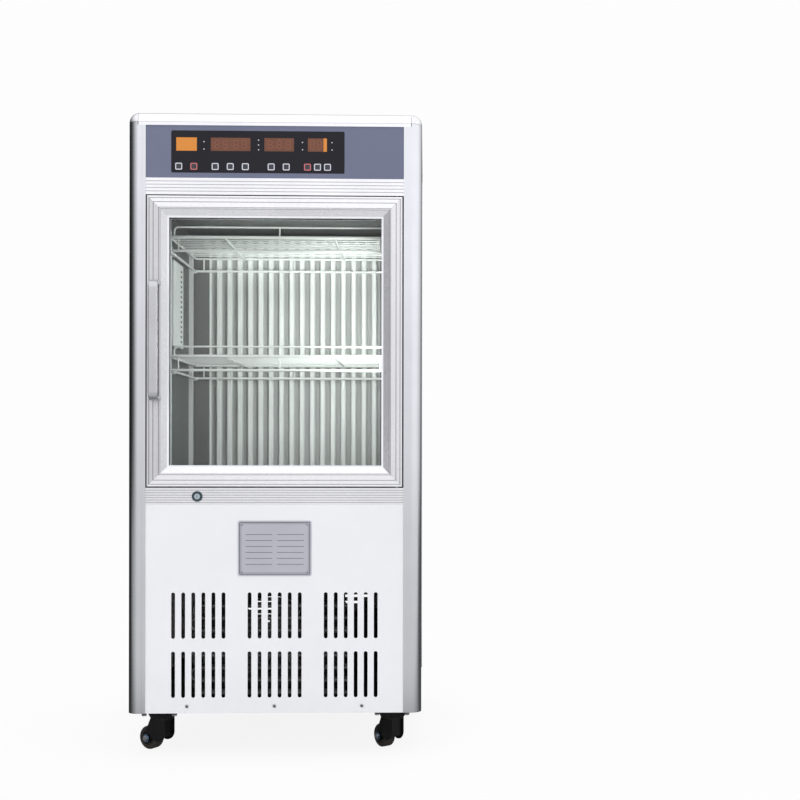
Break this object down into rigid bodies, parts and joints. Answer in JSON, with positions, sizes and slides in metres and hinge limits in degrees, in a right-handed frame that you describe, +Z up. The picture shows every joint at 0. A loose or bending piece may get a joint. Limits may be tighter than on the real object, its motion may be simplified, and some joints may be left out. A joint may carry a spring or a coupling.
{
  "type": "climate chamber",
  "caption": "Aluminium-framed climate chamber on swivel casters, with a hinged glazed door, wire shelves, a control fascia with keys and a slotted machine compartment.",
  "frame": {"origin": "on the floor, under the middle of the whole object's box", "axes": "+Z up, the door and controls face -Y, +X to the right seen from the front"},
  "size_m": [0.616, 0.632, 1.352],
  "materials": {
    "anodised_aluminium": "satin anodised, fine lengthwise grain",
    "bright_aluminium": "satin anodised, light",
    "cap_plastic": "smooth moulded",
    "white_steel": "powder coated, semi-gloss",
    "dark_steel": "black painted steel",
    "fascia_paint": "satin blue-grey film",
    "smoked_window": "glossy smoked acrylic",
    "display_filter": "tinted filter",
    "circuit_board": "solder mask",
    "key_grey": "printed outline key",
    "key_red": "printed outline key",
    "lock_steel": "plated, slightly blue",
    "nameplate_metal": "brushed, bare",
    "fastener_steel": "plated",
    "liner_steel": "bare stainless sheet",
    "foam": "rigid foam",
    "duct_white": "coated sheet",
    "support_white": "coated sheet",
    "wire_white": "plastic coated wire",
    "lamp_white": "frosted tube",
    "copper": "drawn tube",
    "fan_plastic": "moulded",
    "compressor_paint": "black gloss",
    "condenser_grey": "grey coated",
    "caster_steel": "black painted steel",
    "caster_wheel": "moulded wheel",
    "glass": "clear float glass",
    "bead_white": "extruded",
    "gasket": "soft extruded",
    "handle_alloy": "satin cast alloy"
  },
  "bodies": {
    "cabinet": {"base_tray": "dark_steel", "corner_posts": "anodised_aluminium", "top_rails": "bright_aluminium", "corner_caps": "cap_plastic", "top_panel": "white_steel", "side_panels": "white_steel", "rear_panel": "white_steel", "service_panel": "white_steel", "control_fascia": "fascia_paint", "display_window": "smoked_window", "display_modules": "display_filter", "control_board": "circuit_board", "upper_trim": "anodised_aluminium", "lower_trim": "anodised_aluminium", "lock_barrel": "lock_steel", "lower_panel": "white_steel", "nameplate": "nameplate_metal", "rivets_and_screws": "fastener_steel", "chamber_liner": "liner_steel", "insulation": "foam", "duct_panel": "duct_white", "shelf_supports": "support_white", "lamp_canopy": "support_white", "lamp_tubes": "lamp_white", "evaporator": "copper", "sensor_cover": "support_white", "compressor": "compressor_paint", "condenser": "condenser_grey", "fan_shroud": "dark_steel", "caster_plates": "caster_steel", "hinge_pins": "fastener_steel", "cable_gland": "fan_plastic"},
    "door": {"door_frame": "anodised_aluminium", "glass_bead": "bead_white", "door_glass": "glass", "door_gasket": "gasket", "door_handle": "handle_alloy"},
    "lock": {"lock_plug": "lock_steel"},
    "top_shelf": {"top_shelf": "wire_white"},
    "middle_shelf": {"middle_shelf": "wire_white"},
    "air_fan": {"air_fan": "fan_plastic"},
    "condenser_fan": {"condenser_fan": "nameplate_metal"},
    "key_1": {"key_1": "key_grey"},
    "key_2": {"key_2": "key_red"},
    "key_3": {"key_3": "key_grey"},
    "key_4": {"key_4": "key_grey"},
    "key_5": {"key_5": "key_grey"},
    "key_6": {"key_6": "key_grey"},
    "key_7": {"key_7": "key_grey"},
    "key_8": {"key_8": "key_red"},
    "key_9": {"key_9": "key_grey"},
    "key_10": {"key_10": "key_grey"},
    "front_left_fork": {"front_left_fork": "caster_steel"},
    "front_left_wheel": {"front_left_wheel": "caster_wheel"},
    "front_right_fork": {"front_right_fork": "caster_steel"},
    "front_right_wheel": {"front_right_wheel": "caster_wheel"},
    "rear_left_fork": {"rear_left_fork": "caster_steel"},
    "rear_left_wheel": {"rear_left_wheel": "caster_wheel"},
    "rear_right_fork": {"rear_right_fork": "caster_steel"},
    "rear_right_wheel": {"rear_right_wheel": "caster_wheel"}
  },
  "joints": [
    {"name": "door_hinge", "type": "hinge", "parent": "cabinet", "child": "door", "pos_m": [0.256, -0.2723, 0.8705], "axis": [0, 0, 1], "range_deg": [0, 110]},
    {"name": "lock_turn", "type": "hinge", "parent": "cabinet", "child": "lock", "pos_m": [-0.162, -0.255, 0.545], "axis": [0, 1, 0], "range_deg": [0, 90]},
    {"name": "top_shelf_lift", "type": "slide", "parent": "cabinet", "child": "top_shelf", "axis": [0, 0, 1], "range_m": [0, 0.008]},
    {"name": "middle_shelf_lift", "type": "slide", "parent": "cabinet", "child": "middle_shelf", "axis": [0, 0, 1], "range_m": [0, 0.008]},
    {"name": "air_fan_spin", "type": "hinge", "parent": "cabinet", "child": "air_fan", "pos_m": [0, 0.1688, 1.013], "axis": [0, -1, 0], "continuous": true},
    {"name": "condenser_fan_spin", "type": "hinge", "parent": "cabinet", "child": "condenser_fan", "pos_m": [-0.017, -0.141, 0.219], "axis": [0, -1, 0], "continuous": true},
    {"name": "key_1_press", "type": "slide", "parent": "cabinet", "child": "key_1", "axis": [0, 1, 0], "range_m": [0, 0.0005], "stiffness_N_per_m": 400},
    {"name": "key_2_press", "type": "slide", "parent": "cabinet", "child": "key_2", "axis": [0, 1, 0], "range_m": [0, 0.0005], "stiffness_N_per_m": 400},
    {"name": "key_3_press", "type": "slide", "parent": "cabinet", "child": "key_3", "axis": [0, 1, 0], "range_m": [0, 0.0005], "stiffness_N_per_m": 400},
    {"name": "key_4_press", "type": "slide", "parent": "cabinet", "child": "key_4", "axis": [0, 1, 0], "range_m": [0, 0.0005], "stiffness_N_per_m": 400},
    {"name": "key_5_press", "type": "slide", "parent": "cabinet", "child": "key_5", "axis": [0, 1, 0], "range_m": [0, 0.0005], "stiffness_N_per_m": 400},
    {"name": "key_6_press", "type": "slide", "parent": "cabinet", "child": "key_6", "axis": [0, 1, 0], "range_m": [0, 0.0005], "stiffness_N_per_m": 400},
    {"name": "key_7_press", "type": "slide", "parent": "cabinet", "child": "key_7", "axis": [0, 1, 0], "range_m": [0, 0.0005], "stiffness_N_per_m": 400},
    {"name": "key_8_press", "type": "slide", "parent": "cabinet", "child": "key_8", "axis": [0, 1, 0], "range_m": [0, 0.0005], "stiffness_N_per_m": 400},
    {"name": "key_9_press", "type": "slide", "parent": "cabinet", "child": "key_9", "axis": [0, 1, 0], "range_m": [0, 0.0005], "stiffness_N_per_m": 400},
    {"name": "key_10_press", "type": "slide", "parent": "cabinet", "child": "key_10", "axis": [0, 1, 0], "range_m": [0, 0.0005], "stiffness_N_per_m": 400},
    {"name": "front_left_swivel", "type": "hinge", "parent": "cabinet", "child": "front_left_fork", "pos_m": [-0.246, -0.218, 0.0705], "axis": [0, 0, 1], "continuous": true},
    {"name": "front_left_roll", "type": "hinge", "parent": "front_left_fork", "child": "front_left_wheel", "pos_m": [-0.27198, -0.203, 0.025], "axis": [0.5, 0.866, 0], "continuous": true},
    {"name": "front_right_swivel", "type": "hinge", "parent": "cabinet", "child": "front_right_fork", "pos_m": [0.246, -0.218, 0.0705], "axis": [0, 0, 1], "continuous": true},
    {"name": "front_right_roll", "type": "hinge", "parent": "front_right_fork", "child": "front_right_wheel", "pos_m": [0.22795, -0.19404, 0.025], "axis": [0.7986, 0.6018, 0], "continuous": true},
    {"name": "rear_left_swivel", "type": "hinge", "parent": "cabinet", "child": "rear_left_fork", "pos_m": [-0.246, 0.238, 0.0705], "axis": [0, 0, 1], "continuous": true},
    {"name": "rear_left_roll", "type": "hinge", "parent": "rear_left_fork", "child": "rear_left_wheel", "pos_m": [-0.27249, 0.25208, 0.025], "axis": [0.4695, 0.8829, 0], "continuous": true},
    {"name": "rear_right_swivel", "type": "hinge", "parent": "cabinet", "child": "rear_right_fork", "pos_m": [0.246, 0.238, 0.0705], "axis": [0, 0, 1], "continuous": true},
    {"name": "rear_right_roll", "type": "hinge", "parent": "rear_right_fork", "child": "rear_right_wheel", "pos_m": [0.2338, 0.26541, 0.025], "axis": [0.9135, 0.4067, 0], "continuous": true}
  ]
}
